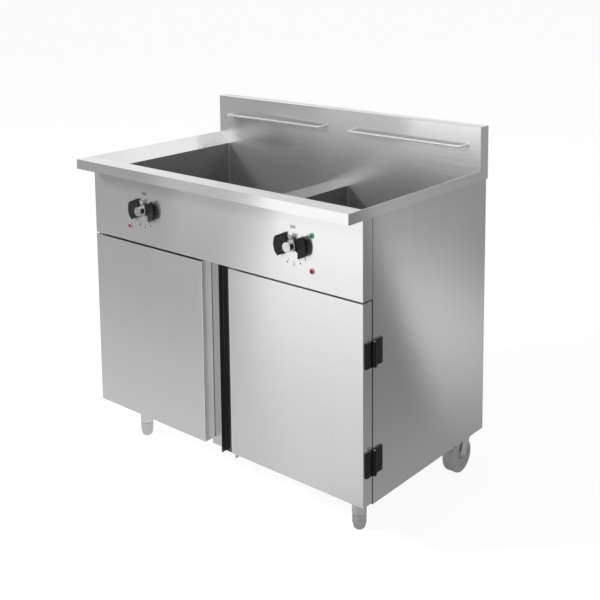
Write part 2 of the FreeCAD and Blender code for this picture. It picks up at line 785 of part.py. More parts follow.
def door_hinges():
    door_leaves = []
    panel_leaves = []
    pins = []
    door_screws = []
    panel_screws = []
    out = body_half + leaf_thickness
    for z in hinge_heights:
        low = z - hinge_length / 2
        high = z + hinge_length / 2
        mid_low = z - knuckle_middle / 2
        mid_high = z + knuckle_middle / 2
        ring = cylinder(barrel_radius, knuckle_middle, vec(hinge_x, hinge_y, mid_low), AXIS_Z)
        plate = box(body_half, out, hinge_y - leaf_reach_door, hinge_y - leaf_edge, low, high)
        link = box(body_half, out, hinge_y - leaf_edge, hinge_y - door_clearance,
                   mid_low, mid_high)
        bore = cylinder(hinge_pin_radius + pin_clearance, hinge_length,
                        vec(hinge_x, hinge_y, low), AXIS_Z)
        leaf = fused([ring, plate, link]).cut(bore)
        panel_plate = box(body_half, out, hinge_y + leaf_edge, hinge_y + leaf_reach_panel,
                          low, high)
        parts = [panel_plate]
        for z0, z1 in ((low, mid_low - knuckle_gap), (mid_high + knuckle_gap, high)):
            parts.append(cylinder(barrel_radius, z1 - z0, vec(hinge_x, hinge_y, z0), AXIS_Z))
            parts.append(box(body_half, out, hinge_y + 2 * door_clearance, hinge_y + leaf_edge,
                             z0, z1))
        pin = cylinder(hinge_pin_radius, hinge_length, vec(hinge_x, hinge_y, low), AXIS_Z)
        fixed = fused(parts).cut(pin)
        for dz in (-screw_spread / 2, screw_spread / 2):
            for y, store in ((hinge_y - screw_gap_door, door_screws),
                             (hinge_y + screw_gap_panel, panel_screws)):
                shank = cylinder(screw_radius, screw_length + leaf_thickness,
                                 vec(body_half - screw_length, y, z + dz), AXIS_X)
                head = cylinder(screw_head_radius, screw_head_height,
                                vec(out, y, z + dz), AXIS_X)
                leaf = leaf.cut(shank)
                fixed = fixed.cut(shank)
                store.append(fused([shank, head]))
        door_leaves.append(leaf)
        panel_leaves.append(fixed)
        pins.append(pin)
    save_pair("hinge_leaves_door", door_leaves)
    save_pair("hinge_screws_door", door_screws)
    save("hinge_leaves_panel", panel_leaves + [mirrored(s) for s in panel_leaves])
    save("hinge_pins", pins + [mirrored(s) for s in pins])
    save("hinge_screws_panel", panel_screws + [mirrored(s) for s in panel_screws])


def drains():
    centre_z = (valve_top + valve_bottom) / 2
    at_top = vec(well_centre, drain_y, valve_top)
    pipe_top = well_floor_z(drain_y)
    nipple = tube(pipe_radius, pipe_bore, pipe_top - valve_top + spout_overlap,
                  vec(well_centre, drain_y, valve_top - spout_overlap), AXIS_Z)
    spout = tube(pipe_radius, pipe_bore, valve_bottom + spout_overlap - spout_bottom,
                 vec(well_centre, drain_y, spout_bottom), AXIS_Z)
    save_pair("drain_pipe", [nipple, spout])
    middle = vec(well_centre, drain_y, centre_z)
    barrel = cylinder(valve_radius, valve_top - valve_bottom - 2 * valve_end_length,
                      vec(well_centre, drain_y, valve_bottom + valve_end_length), AXIS_Z)
    top_end = cylinder(valve_end_radius, valve_end_length,
                       vec(well_centre, drain_y, valve_top - valve_end_length), AXIS_Z)
    low_end = cylinder(valve_end_radius, valve_end_length,
                       vec(well_centre, drain_y, valve_bottom), AXIS_Z)
    boss_y = drain_y - stem_boss_reach
    boss = cylinder(stem_boss_radius, stem_boss_reach, vec(well_centre, boss_y, centre_z), AXIS_Y)
    body = fused([barrel, top_end, low_end, boss])
    body = body.cut(Part.makeSphere(ball_radius + ball_clearance, middle))
    body = body.cut(cylinder(stem_radius + ball_clearance / 2, stem_boss_reach + overrun,
                             vec(well_centre, boss_y - overrun, centre_z), AXIS_Y))
    body = body.cut(cylinder(ball_bore, valve_top - valve_bottom + 2 * overrun,
                             vec(well_centre, drain_y, valve_bottom - overrun), AXIS_Z))
    for z0 in (valve_top - spout_overlap, valve_bottom - overrun):
        body = body.cut(cylinder(pipe_radius, spout_overlap + overrun,
                                 vec(well_centre, drain_y, z0), AXIS_Z))
    save_pair("valve_body", [body])
    stem_y = drain_y - stem_reach
    end = math.sqrt(ball_radius ** 2 - ball_bore ** 2)
    low = vec(well_centre - end, drain_y, centre_z + ball_bore)
    high = vec(well_centre + end, drain_y, centre_z + ball_bore)
    crest = vec(well_centre, drain_y, centre_z + ball_radius)
    outline = Part.Wire([Part.makeLine(low, high), Part.Arc(high, crest, low).toShape()])
    ball = Part.Face(outline).revolve(middle, AXIS_X, full_turn)
    stem = cylinder(stem_radius, stem_reach - ball_bore - sheet,
                    vec(well_centre, stem_y, centre_z), AXIS_Y)
    save_pair("valve_ball", [ball.fuse(stem)])
    lever_y = boss_y - lever_gap - lever_thickness
    eye = cylinder(lever_half_width + sheet, lever_thickness,
                   vec(well_centre, lever_y, centre_z), AXIS_Y)
    arm = box(well_centre, well_centre + lever_length, lever_y, lever_y + lever_thickness,
              centre_z - lever_half_width, centre_z + lever_half_width)
    end = cylinder(lever_half_width, lever_thickness,
                   vec(well_centre + lever_length, lever_y, centre_z), AXIS_Y)
    lever = fused([eye, arm, end])
    lever = lever.cut(cylinder(stem_radius, lever_thickness + 2 * overrun,
                               vec(well_centre, lever_y - overrun, centre_z), AXIS_Y))
    save_pair("valve_lever", [lever])


def legs():
    top = under_base
    plate_z = top - leg_plate
    plate = box(leg_x - leg_plate_half, leg_x + leg_plate_half, leg_y - leg_plate_half,
                leg_y + leg_plate_half, plate_z, top)
    barrel = tube(leg_radius, leg_bore, plate_z - leg_bottom, vec(leg_x, leg_y, leg_bottom), AXIS_Z)
    plug = tube(leg_bore, foot_stem_radius + foot_clearance, leg_plug,
                vec(leg_x, leg_y, leg_bottom), AXIS_Z)
    save_pair("leg", [fused([plate, barrel, plug])])
    foot_top = leg_bottom - foot_top_gap
    band = cylinder(foot_top_radius, foot_band, vec(leg_x, leg_y, foot_top - foot_band), AXIS_Z)
    cone = Part.makeCone(foot_bottom_radius, foot_top_radius,
                         foot_top - foot_band - foot_base_height,
                         vec(leg_x, leg_y, foot_base_height), AXIS_Z)
    base = Part.makeCone(foot_base_radius, foot_bottom_radius, foot_base_height,
                         vec(leg_x, leg_y, 0), AXIS_Z)
    stem = cylinder(foot_stem_radius, foot_stem_top - foot_top,
                    vec(leg_x, leg_y, foot_top), AXIS_Z)
    save_pair("foot", [fused([band, cone, base, stem])])


def castors():
    plate_z = under_base - castor_plate
    plate = box(castor_x - castor_plate_half, castor_x + castor_plate_half,
                castor_pivot_y - castor_plate_half, castor_pivot_y + castor_plate_half,
                plate_z, under_base)
    race = cylinder(race_radius, plate_z - race_bottom,
                    vec(castor_x, castor_pivot_y, race_bottom), AXIS_Z)
    kingpin = cylinder(kingpin_radius, race_bottom - kingpin_bottom,
                       vec(castor_x, castor_pivot_y, kingpin_bottom), AXIS_Z)
    head = cylinder(kingpin_head_radius, kingpin_head,
                    vec(castor_x, castor_pivot_y, kingpin_bottom), AXIS_Z)
    save_pair("castor_plate", [fused([plate, race, kingpin, head])])
    axle_y = castor_pivot_y - castor_trail
    axle_z = wheel_radius
    inner = wheel_width / 2 + wheel_side_gap
    outer = inner + fork_thickness
    crown_low = fork_top - fork_crown
    front = castor_pivot_y - fork_front
    rear = castor_pivot_y + fork_rear
    crown = box(castor_x - outer, castor_x + outer, front, rear, crown_low, fork_top)
    pieces = [crown]
    for x0, x1 in ((castor_x - outer, castor_x - inner), (castor_x + inner, castor_x + outer)):
        leg_side = prism_x([(front, fork_top), (rear, fork_top), (rear, crown_low),
                            (axle_y + fork_hub_radius, axle_z), (axle_y, axle_z - fork_hub_radius),
                            (axle_y - fork_hub_radius, axle_z), (front, crown_low)], x0, x1)
        pieces.append(leg_side)
    fork = fused(pieces)
    fork = fork.cut(cylinder(kingpin_radius + kingpin_clearance, 2 * overrun + fork_crown,
                             vec(castor_x, castor_pivot_y, crown_low - overrun), AXIS_Z))
    fork = fork.cut(cylinder(axle_radius, 2 * outer + 2 * overrun,
                             vec(castor_x - outer - overrun, axle_y, axle_z), AXIS_X))
    save_pair("castor_fork", [fork])
    axle = cylinder(axle_radius, 2 * outer, vec(castor_x - outer, axle_y, axle_z), AXIS_X)
    heads = [cylinder(axle_head_radius, axle_head_length, vec(x, axle_y, axle_z), AXIS_X)
             for x in (castor_x - outer - axle_head_length, castor_x + outer)]
    save_pair("castor_axle", [fused([axle] + heads)])
    tread = cylinder(wheel_radius, wheel_width,
                     vec(castor_x - wheel_width / 2, axle_y, axle_z), AXIS_X)
    tread = tread.makeFillet(wheel_round, [e for e in tread.Edges if len(e.Vertexes) == 1])
    dish = (wheel_width - wheel_web) / 2
    for x in (castor_x - wheel_width / 2, castor_x + wheel_web / 2):
        ring = tube(wheel_recess_radius, wheel_hub_radius, dish, vec(x, axle_y, axle_z), AXIS_X)
        tread = tread.cut(ring)
    hole = cylinder(axle_radius + axle_clearance, wheel_width + 2 * overrun,
                    vec(castor_x - wheel_width / 2 - overrun, axle_y, axle_z), AXIS_X)
    save_pair("castor_wheel", [tread.cut(hole)])


top_deck()
splashback()
bridge()
well()
basket_rails()
fascia()
lamps()
control_tray()
knobs()
thermostats()
element_bank()
electrical_gear()
cabinet()
mullion()
door()
door_hinges()
drains()
legs()
castors()
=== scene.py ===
import math

import bmesh
import bpy
from mathutils import Matrix, Quaternion, Vector


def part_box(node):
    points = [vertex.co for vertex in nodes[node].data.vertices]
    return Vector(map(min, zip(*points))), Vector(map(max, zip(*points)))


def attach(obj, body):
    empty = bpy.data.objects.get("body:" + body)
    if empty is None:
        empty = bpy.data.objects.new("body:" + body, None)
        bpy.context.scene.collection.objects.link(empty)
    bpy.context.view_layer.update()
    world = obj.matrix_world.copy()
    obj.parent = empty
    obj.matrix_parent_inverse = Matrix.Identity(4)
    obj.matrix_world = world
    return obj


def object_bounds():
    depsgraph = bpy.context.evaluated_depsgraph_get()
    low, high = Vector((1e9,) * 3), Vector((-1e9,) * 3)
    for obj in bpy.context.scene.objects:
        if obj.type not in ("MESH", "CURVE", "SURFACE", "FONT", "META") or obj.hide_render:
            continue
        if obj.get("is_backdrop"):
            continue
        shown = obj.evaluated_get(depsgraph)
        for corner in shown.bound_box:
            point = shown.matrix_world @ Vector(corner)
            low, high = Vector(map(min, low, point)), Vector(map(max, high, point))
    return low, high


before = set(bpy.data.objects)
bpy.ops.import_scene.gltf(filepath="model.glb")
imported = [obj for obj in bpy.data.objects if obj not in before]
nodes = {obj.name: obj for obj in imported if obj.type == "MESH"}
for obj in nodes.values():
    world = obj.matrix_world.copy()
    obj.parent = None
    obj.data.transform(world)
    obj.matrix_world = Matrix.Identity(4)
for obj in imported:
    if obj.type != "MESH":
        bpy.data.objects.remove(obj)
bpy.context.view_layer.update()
scene = bpy.context.scene


# node trees

class Wire:
    """One output of a node, with plain arithmetic on it."""

    def __init__(self, tree, node, out):
        self.tree = tree
        self.node = node
        self.socket = node.outputs[out]

    def math(self, operation, *values, clamp=False):
        settings = {"operation": operation, "use_clamp": clamp}
        return self.tree.put("ShaderNodeMath", settings, dict(enumerate(values)))

    def __add__(self, other):
        return self.math("ADD", self, other)

    def __sub__(self, other):
        return self.math("SUBTRACT", self, other)

    def __rsub__(self, other):
        return self.math("SUBTRACT", other, self)

    def __mul__(self, other):
        return self.math("MULTIPLY", self, other)

    def __lt__(self, other):
        return self.math("LESS_THAN", self, other)

    def __gt__(self, other):
        return self.math("GREATER_THAN", self, other)

    def __abs__(self):
        return self.math("ABSOLUTE", self)

    def most(self, other):
        """The larger of the two."""
        return self.math("MAXIMUM", self, other)

    def kept(self):
        """Held between 0 and 1."""
        return self.math("ADD", self, 0.0, clamp=True)

    def spread(self, low, high, out_low=0.0, out_high=1.0):
        """A smooth step from out_low at low to out_high at high."""
        sockets = {"Value": self, "From Min": low, "From Max": high,
                   "To Min": out_low, "To Max": out_high}
        return self.tree.put("ShaderNodeMapRange", {"interpolation_type": "SMOOTHSTEP"}, sockets)


class Tree:
    """A node tree in which every node is made by put."""

    def __init__(self, tree):
        self.tree = tree

    def put(self, kind, settings=None, sockets=None, out=0):
        """A new node, given back as a wire from one of its outputs."""
        node = self.tree.nodes.new(kind)
        for key, value in (settings or {}).items():
            setattr(node, key, value)
        self.feed(node, sockets or {})
        return Wire(self, node, out) if node.outputs else node

    def feed(self, node, sockets):
        """Links or sets the inputs of a node."""
        for key, value in sockets.items():
            if isinstance(value, Wire):
                self.tree.links.new(value.socket, node.inputs[key])
            else:
                node.inputs[key].default_value = value

    def axes(self):
        """X, Y and Z of the point, in metres."""
        where = self.put("ShaderNodeTexCoord", out="Object")
        split = self.put("ShaderNodeSeparateXYZ", None, {0: where})
        return [Wire(self, split.node, i) for i in range(3)]

    def mix(self, low, high, share):
        """From low, a colour or a wire, to the colour high."""
        first = low if isinstance(low, Wire) else (*low, 1.0)
        pair = {"A": first, "B": (*high, 1.0), "Factor": share}
        return self.put("ShaderNodeMix", {"data_type": "RGBA"}, pair, out="Result")


class Finish(Tree):
    """A material on Object coordinates with one Principled shader."""

    def __init__(self, name):
        self.mat = bpy.data.materials.new(name)
        self.mat.use_nodes = True
        super().__init__(self.mat.node_tree)
        self.shader = self.tree.nodes["Principled BSDF"]

    def set(self, **values):
        """Links or sets the inputs of the shader, with _ for each space in a name."""
        self.feed(self.shader, {key.replace("_", " "): value for key, value in values.items()})

    def noise(self, scale, detail=2.0, rough=0.5, shift=(0.0, 0.0, 0.0)):
        """Noise with its own scale on each axis; shift keeps two of them apart."""
        where = self.put("ShaderNodeTexCoord", out="Object")
        place = self.put("ShaderNodeMapping", None,
                         {"Vector": where, "Scale": scale, "Location": shift})
        sockets = {"Vector": place, "Scale": 1.0, "Detail": detail, "Roughness": rough}
        return self.put("ShaderNodeTexNoise", None, sockets)

    def bump(self, height, distance):
        sockets = {"Height": height, "Strength": 1.0, "Distance": distance}
        self.set(Normal=self.put("ShaderNodeBump", None, sockets))


# finishes

# a noise seldom leaves this range, so what it drives is spread between these two
NOISE_LOW, NOISE_HIGH = 0.3, 0.7
# noise turns per metre: across the grain and along it, and for the slow cloud
HAIR_ACROSS, HAIR_ALONG = 900.0, 6.0
BAND_ACROSS, BAND_ALONG, BAND_SHIFT = 170.0, 1.5, (3.1, 1.7, 5.3)
CLOUD, CLOUD_SHIFT = 2.6, (7.7, 2.1, 4.9)
HAIR_PART, BAND_PART, CLOUD_PART = 0.2, 0.55, 0.25
SHEET_DARK, SHEET_LIGHT = (0.97, 0.97, 0.975), (1.025, 1.025, 1.025)
SHEET_ROUGH, SHEET_SMOOTHER, SHEET_ROUGHER = 0.18, 0.012, 0.02
SHEET_SHINE, BOUNCE_SHINE = 0.82, 0.25
SHEET_WAVE, HAIR_RELIEF = 0.0004, 0.007
SMEAR_TURN = 0.25
# the dark colour of painted shade, and the pale colour of painted bounce light
SHADE_DARK, BOUNCE_PALE = (0.045, 0.045, 0.043), (0.85, 0.85, 0.85)
# painted shade is thinner on the tops of the grain
SHADE_COVER = (0.2, 0.8, 1.0, 0.82)


def scales(across, along, axis):
    """Noise scales for X, Y and Z, with the grain along one axis."""
    return tuple(along if letter == axis else across for letter in "XYZ")


def tinted(tone, tint):
    """A colour scaled by a tone."""
    return tuple(tone * part for part in tint)


def brushed(name, axis, tone=0.67, smear=1.0, painted_shade=None, bounce_lit=None):
    """Satin sheet steel, its grain along one axis; one mask darkens it with painted shade, another
    makes it pale and matt as painted bounce light.
    """
    steel = Finish(name)
    hair = steel.noise(scales(HAIR_ACROSS, HAIR_ALONG, axis), detail=2.0, rough=0.6)
    band = steel.noise(scales(BAND_ACROSS, BAND_ALONG, axis), detail=2.0, shift=BAND_SHIFT)
    cloud = steel.noise((CLOUD, CLOUD, CLOUD), detail=1.0, shift=CLOUD_SHIFT)
    mark = (hair * HAIR_PART + band * BAND_PART + cloud * CLOUD_PART).kept()
    colour = steel.mix(tinted(tone, SHEET_DARK), tinted(tone, SHEET_LIGHT), mark)
    # the dark mix is painted shade
    if painted_shade:
        cover = hair.spread(*SHADE_COVER)
        colour = steel.mix(colour, SHADE_DARK, painted_shade(*steel.axes()) * cover)
    shine = SHEET_SHINE
    # the pale matt mix is painted bounce light
    if bounce_lit:
        film = bounce_lit(*steel.axes())
        colour = steel.mix(colour, BOUNCE_PALE, film)
        shine = film.spread(0.0, 1.0, SHEET_SHINE, BOUNCE_SHINE)
    ends = SHEET_ROUGH - SHEET_SMOOTHER, SHEET_ROUGH + SHEET_ROUGHER
    steel.set(Base_Color=colour, Roughness=mark.spread(NOISE_LOW, NOISE_HIGH, *ends),
              Metallic=shine, Anisotropic=smear, Anisotropic_Rotation=SMEAR_TURN)
    steel.bump(hair * HAIR_RELIEF + cloud, SHEET_WAVE)
    return steel.mat


TARNISH_DARK, TARNISH_LIGHT, TARNISH_RELIEF = 0.88, 1.08, 0.00004
TARNISH_SMOOTHER, TARNISH_ROUGHER = 0.05, 0.07
PORES, PORE_RELIEF = 900.0, 0.00003
FILM, FILM_SHIFT = 35.0, (1.3, 4.2, 2.2)
FILM_DARK, FILM_LIGHT, FILM_HAZE, FILM_ROUGH = 0.85, 1.15, 0.002, 0.06
# how far out from its middle the painted sheen on a lens begins, and where it is full
LENS_CLEAR, LENS_PALE = 0.45, 0.9
LENS_ROUGH, LENS_SHINE = (0.14, 0.24), 0.3


def metal(name, tone, rough, tint=(1.0, 1.0, 1.0), grain=(90.0, 90.0, 90.0), metallic=1.0):
    """Plain metal with a faint cloud of tarnish."""
    piece = Finish(name)
    spots = piece.noise(grain, detail=3.0)
    dark = tinted(tone * TARNISH_DARK, tint)
    light = tinted(tone * TARNISH_LIGHT, tint)
    ends = rough - TARNISH_SMOOTHER, rough + TARNISH_ROUGHER
    piece.set(Base_Color=piece.mix(dark, light, spots), Metallic=metallic,
              Roughness=spots.spread(NOISE_LOW, NOISE_HIGH, *ends))
    piece.bump(spots, TARNISH_RELIEF)
    return piece.mat


def plastic(name, colour, rough, grain=PORES, shine=0.5):
    """Moulded plastic with fine pores and a handled film."""
    piece = Finish(name)
    pores = piece.noise((grain, grain, grain), detail=2.0)
    film = piece.noise((FILM, FILM, FILM), detail=2.0, shift=FILM_SHIFT)
    dark = tinted(FILM_DARK, colour)
    light = tuple(min(1.0, part * FILM_LIGHT + FILM_HAZE) for part in colour)
    ends = rough - FILM_ROUGH, rough + FILM_ROUGH
    piece.set(Base_Color=piece.mix(dark, light, film), Specular_IOR_Level=shine,
              Roughness=film.spread(NOISE_LOW, NOISE_HIGH, *ends))
    piece.bump(pores, PORE_RELIEF)
    return piece.mat


def lens(name, node, colour, sheen):
    """A clear coloured cap with a pale edge that is a painted sheen; the node holds one cap or two
    side by side.
    """
    piece = Finish(name)
    low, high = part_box(node)
    radius = (high.z - low.z) / 2
    apart = (high.x - low.x) / 2 - radius
    x, y, z = piece.axes()
    across = abs(abs(x - (low.x + high.x) / 2) - apart)
    up = z - (low.z + high.z) / 2
    squared = across * across + up * up
    edge = squared.spread((LENS_CLEAR * radius) ** 2, (LENS_PALE * radius) ** 2)
    ribs = piece.noise((PORES, PORES, PORES))
    piece.set(Base_Color=piece.mix(colour, sheen, edge), Specular_IOR_Level=LENS_SHINE,
              Roughness=ribs.spread(NOISE_LOW, NOISE_HIGH, *LENS_ROUGH))
    piece.bump(ribs, PORE_RELIEF)
    return piece.mat


# where the painted shade and painted bounce light lie, in metres, and how strong they are, with 1
# as full cover
GROOVE_HALF, GROOVE_FRONT = 0.0263, -0.2116
SEAM_SIDE, SEAM_FRONT, SEAM_BACK, SEAM_TOP = 0.49, -0.2146, -0.2100, 0.640
SEAM_SHADE, SEAM_SHADE_LOW = 0.55, 0.4
DOOR_GAP_HALF, DOOR_TOP, DOOR_TOP_SHADE = 0.0525, 0.6372, 0.9
WALL_LEFT, WALL_MIDDLE = -0.4600, 0.0428
WALL_TOP, WALL_FRONT, WALL_BACK = 0.8345, -0.1665, 0.2680
WALL_SHADE_LEFT, WALL_SHADE_MIDDLE = 0.62, 0.8
WEDGE_SHADE = 0.45
WEDGE_IN_X, WEDGE_OUT_X = (-0.46, -0.40), (-0.27, -0.12, 1.0, 0.0)
WEDGE_IN_Z, WEDGE_OUT_Z = (0.835, 0.865), (0.91, 0.95, 1.0, 0.0)
RIM_FRONT, RIM_SHADE = -0.3055, 0.13


def shade_in_groove(x, y, z):
    """Painted shade in the recess of the mullion, between the doors."""
    return (abs(x) < GROOVE_HALF) * (y > GROOVE_FRONT)


def shade_on_wells(x, y, z):
    """Painted shade on the well walls that face right, on the back wall over the left well where
    it dims the reflection, and on the front face of the rim.
    """
    wall_shade = (x < WALL_LEFT) * WALL_SHADE_LEFT + (abs(x) < WALL_MIDDLE) * WALL_SHADE_MIDDLE
    wall_shade = wall_shade * (z < WALL_TOP) * (y > WALL_FRONT) * (y < WALL_BACK)
    wedge_shade = x.spread(*WEDGE_IN_X) * x.spread(*WEDGE_OUT_X) * (y > WALL_BACK) * WEDGE_SHADE
    wedge_shade = wedge_shade * z.spread(*WEDGE_IN_Z) * z.spread(*WEDGE_OUT_Z)
    return wall_shade + wedge_shade + (y < RIM_FRONT) * RIM_SHADE


def shade_on_seam(x, y, z):
    """Painted shade beside the open joint of a side panel and its door, and less of it up the
    fascia.
    """
    joint = (abs(x) > SEAM_SIDE) * (y > SEAM_FRONT) * (y < SEAM_BACK)
    return joint * ((z < SEAM_TOP) * SEAM_SHADE_LOW + SEAM_SHADE)


def shade_on_door(x, y, z):
    """The painted shade of the side seam, and painted shade on the folded top of the left door,
    under the fascia.
    """
    return (shade_on_seam(x, y, z) + (z > DOOR_TOP) * (x < 0.0) * DOOR_TOP_SHADE).kept()


def bounce_in_door_gap(x, y, z):
    """The inner returns of both doors, painted pale as painted bounce light."""
    return abs(x) < DOOR_GAP_HALF


BLACK = (0.008, 0.008, 0.009)
# each lens colour and the pale colour of its painted sheen
GREEN, GREEN_SHEEN = (0.012, 0.17, 0.07), (0.35, 0.62, 0.45)
RED, RED_SHEEN = (0.20, 0.006, 0.008), (0.66, 0.33, 0.33)
STEEL_X = brushed("steel_grain_x", "X")
# painted shade beside the side seams
STEEL_Z = brushed("steel_grain_z", "Z", painted_shade=shade_on_seam)
# painted shade at the side seam and the top fold, and painted bounce light on the inner returns
STEEL_DOOR = brushed("steel_door", "Z", painted_shade=shade_on_door, bounce_lit=bounce_in_door_gap)
STEEL_TOP = brushed("steel_top", "Y", smear=0.0)
# painted shade in the recess of the mullion
STEEL_GROOVE = brushed("steel_groove", "Z", painted_shade=shade_in_groove)
# painted shade on the walls of the wells, on the back wall over the left well and on the rim
STEEL_WELL = brushed("steel_well", "X", tone=0.74, painted_shade=shade_on_wells)
# the longest key that starts a node's name decides its finish
FINISH = {
    "top_deck": STEEL_WELL, "splashback": STEEL_WELL, "bridge": STEEL_TOP, "fascia": STEEL_X,
    "control_tray": STEEL_X, "back_panel": STEEL_Z, "base_panel": STEEL_X, "mullion": STEEL_GROOVE,
    "well": STEEL_WELL, "side_panel": STEEL_Z, "door_liner": STEEL_Z, "door": STEEL_DOOR,
    "basket_rail": metal("rod_steel", 0.85, 0.2, grain=(8.0, 300.0, 300.0), metallic=0.5),
    "element_bank": metal("sheath_steel", 0.36, 0.32, tint=(1.0, 0.97, 0.93)),
    "knob_grip": plastic("knob_black", BLACK, 0.3, shine=0.2),
    "knob_hub": metal("hub_bright", 0.55, 0.2, grain=(300.0, 300.0, 300.0)),
    "thermostat_spindle": metal("spindle_steel", 0.5, 0.3),
    "thermostat": metal("thermostat_metal", 0.6, 0.35, tint=(1.0, 0.98, 0.92)),
    "hinge_pins": metal("pin_steel", 0.5, 0.3),
    "hinge_screws": metal("screw_black", 0.06, 0.4),
    "castor_axle": metal("axle_steel", 0.5, 0.3),
    "lamp_green": lens("lens_green", "lamp_green", GREEN, GREEN_SHEEN),
    "lamps_red": lens("lens_red", "lamps_red", RED, RED_SHEEN),
    "contactors": plastic("gear_white", (0.72, 0.72, 0.68), 0.45),
    "terminal_block": plastic("block_grey", (0.35, 0.36, 0.36), 0.45),
    "cable_gland": plastic("gland_black", (0.02, 0.02, 0.02), 0.4),
    "hinge_leaves": plastic("hinge_black", BLACK, 0.42, shine=0.25),
    "valve_body": metal("valve_brass", 0.72, 0.3, tint=(1.0, 0.9, 0.66)),
    "valve_ball": metal("ball_bright", 0.75, 0.12),
    "valve_lever": plastic("lever_red", (0.4, 0.016, 0.014), 0.35),
    "drain_pipe": metal("pipe_steel", 0.55, 0.35),
    "leg": metal("leg_steel", 0.72, 0.26, grain=(60.0, 60.0, 8.0)),
    "foot": metal("foot_steel", 0.62, 0.3, grain=(60.0, 60.0, 60.0)),
    "castor_plate": metal("castor_zinc", 0.6, 0.3),
    "castor_fork": metal("fork_zinc", 0.72, 0.28),
    "castor_wheel": plastic("wheel_grey", (0.68, 0.68, 0.685), 0.5, grain=500.0),
}


def finish_for(name):
    """The finish of a node."""
    best = max((key for key in FINISH if name.startswith(key)), key=len)
    return FINISH[best]


EDGE_RADIUS = 0.0005
EDGE_ANGLE = math.radians(35)
FLAT_ANGLE = math.radians(0.3)
WELD_REACH = 0.00001


def fold_edges(obj):
    """Rounds the folded and cut edges a little, so that they catch the light."""
    weld = obj.modifiers.new("weld", "WELD")
    weld.merge_threshold = WELD_REACH
    flat = obj.modifiers.new("flat", "DECIMATE")
    flat.decimate_type = "DISSOLVE"
    flat.angle_limit = FLAT_ANGLE
    bevel = obj.modifiers.new("edge", "BEVEL")
    bevel.width = EDGE_RADIUS
    bevel.segments = 2
    bevel.limit_method = "ANGLE"
    bevel.angle_limit = EDGE_ANGLE
    even = obj.modifiers.new("even", "WEIGHTED_NORMAL")
    even.mode = "FACE_AREA"
    even.weight = 100


for name, obj in nodes.items():
    obj.data.materials.clear()
    obj.data.materials.append(finish_for(name))
    fold_edges(obj)


# marks printed on the fascia

fascia_low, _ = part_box("fascia")
INK = plastic("dial_ink", (0.02, 0.02, 0.02), 0.5)
INK_LIFT = 0.00012
INK_WEIGHT = 0.00025
# places round a spindle: rise or ring radius and size in metres, angles in degrees
ON_RISE, ON_SIZE = 0.0465, 0.0115
NUMBER_RING, NUMBER_SIZE = 0.049, 0.009
NUMBER_FIRST, NUMBER_STEP, NUMBER_COUNT = 18, -26, 9
DOT_RING, DOT_RADIUS, DOT_SIDES = 0.0415, 0.0014, 20
DOT_FIRST, DOT_COUNT = 44, 10
UPRIGHT = Matrix.Rotation(math.radians(90), 4, "X")


def plain_mesh(obj):
    """The finished mesh of a helper object, which is then removed."""
    bpy.context.view_layer.update()
    graph = bpy.context.evaluated_depsgraph_get()
    mesh = bpy.data.meshes.new_from_object(obj.evaluated_get(graph))
    bpy.data.objects.remove(obj)
    return mesh


def printed(text, x, z, size):
    """Flat letters centred on x, z."""
    curve = bpy.data.curves.new("print", "FONT")
    curve.body = text
    curve.size = size
    curve.align_x = "CENTER"
    curve.align_y = "CENTER"
    curve.extrude = INK_LIFT / 2
    curve.offset = INK_WEIGHT
    curve.resolution_u = 3
    holder = bpy.data.objects.new("print", curve)
    scene.collection.objects.link(holder)
    mesh = plain_mesh(holder)
    mesh.transform(Matrix.Translation((x, 0, z)) @ UPRIGHT)
    return mesh


def dot_ring():
    """A geometry tree that sets flat dots along an arc, seen from above."""
    group = bpy.data.node_groups.new("dot_ring", "GeometryNodeTree")
    face = group.interface
    face.new_socket("Geometry", in_out="OUTPUT", socket_type="NodeSocketGeometry")
    for key, kind in (("Ring Radius", "Float"), ("Dot Radius", "Float"), ("Lift", "Float"),
                      ("First Angle", "Float"), ("Sweep", "Float"), ("Count", "Int")):
        face.new_socket(key, in_out="INPUT", socket_type="NodeSocket" + kind)
    face.new_socket("Ink", in_out="INPUT", socket_type="NodeSocketMaterial")
    tree = Tree(group)
    given = {socket.name: tree.put("NodeGroupInput", out=socket.name)
             for socket in face.items_tree if socket.in_out == "INPUT"}
    arc = tree.put("GeometryNodeCurveArc", {"mode": "RADIUS"},
                   {"Resolution": given["Count"], "Radius": given["Ring Radius"],
                    "Start Angle": given["First Angle"], "Sweep Angle": given["Sweep"]},
                   out="Curve")
    places = tree.put("GeometryNodeCurveToPoints", {"mode": "EVALUATED"},
                      {"Curve": arc}, out="Points")
    spot = tree.put("GeometryNodeMeshCylinder", None,
                    {"Vertices": DOT_SIDES, "Radius": given["Dot Radius"],
                     "Depth": given["Lift"]}, out="Mesh")
    many = tree.put("GeometryNodeInstanceOnPoints", None,
                    {"Points": places, "Instance": spot}, out="Instances")
    whole = tree.put("GeometryNodeRealizeInstances", None, {"Geometry": many}, out="Geometry")
    inked = tree.put("GeometryNodeSetMaterial", None,
                     {"Geometry": whole, "Material": given["Ink"]}, out="Geometry")
    tree.put("NodeGroupOutput", None, {"Geometry": inked})
    return group


def dots(group, x, z):
    """The ring of dots round x, z."""
    holder = bpy.data.objects.new("dots", bpy.data.meshes.new("dots"))
    scene.collection.objects.link(holder)
    ring = holder.modifiers.new("dots", "NODES")
    ring.node_group = group
    sweep = NUMBER_STEP * (DOT_COUNT - 1)
    sizes = {"Ring Radius": DOT_RING, "Dot Radius": DOT_RADIUS, "Lift": INK_LIFT,
             "First Angle": math.radians(DOT_FIRST), "Sweep": math.radians(sweep),
             "Count": DOT_COUNT, "Ink": INK}
    for socket in group.interface.items_tree:
        if socket.in_out == "INPUT":
            ring[socket.identifier] = sizes[socket.name]
    mesh = plain_mesh(holder)
    mesh.transform(Matrix.Translation((x, 0, z)) @ UPRIGHT)
    return mesh


